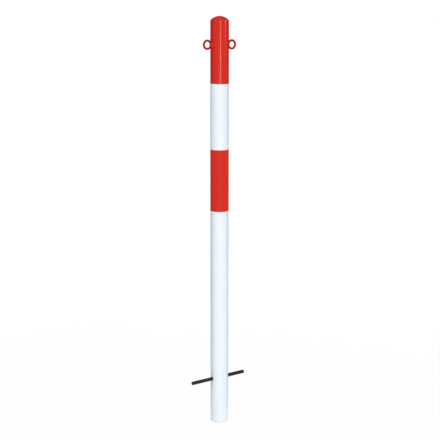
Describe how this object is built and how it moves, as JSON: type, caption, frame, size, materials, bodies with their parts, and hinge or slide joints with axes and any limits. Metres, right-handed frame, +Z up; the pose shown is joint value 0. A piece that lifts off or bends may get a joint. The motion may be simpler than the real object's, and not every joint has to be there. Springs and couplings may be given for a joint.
{
  "type": "cast-in barrier post",
  "caption": "Round steel barrier post with a domed cap, welded ring eyes for a chain, red and white bands, and a loose cross rod that keys its foot into a concrete footing.",
  "frame": {"origin": "middle of the tube's open foot, on the tube's axis", "axes": "+Z up the tube towards the domed cap; the chain eyes and the anchor rod lie along X"},
  "size_m": [0.21, 0.0611, 1.3699],
  "materials": {
    "white_coat": "satin white coat on steel, red over the head",
    "red_moulding": "moulded plastic, coloured through",
    "red_coat": "glossy red coat on steel",
    "red_film": "reflective film",
    "mill_steel": "black mill scale"
  },
  "bodies": {
    "root": {"post_tube": "white_coat", "domed_cap": "red_moulding", "left_eye": "red_coat", "left_eye_weld": "red_coat", "right_eye": "red_coat", "right_eye_weld": "red_coat", "reflective_band": "red_film", "anchor_rod": "mill_steel"}
  },
  "joints": []
}
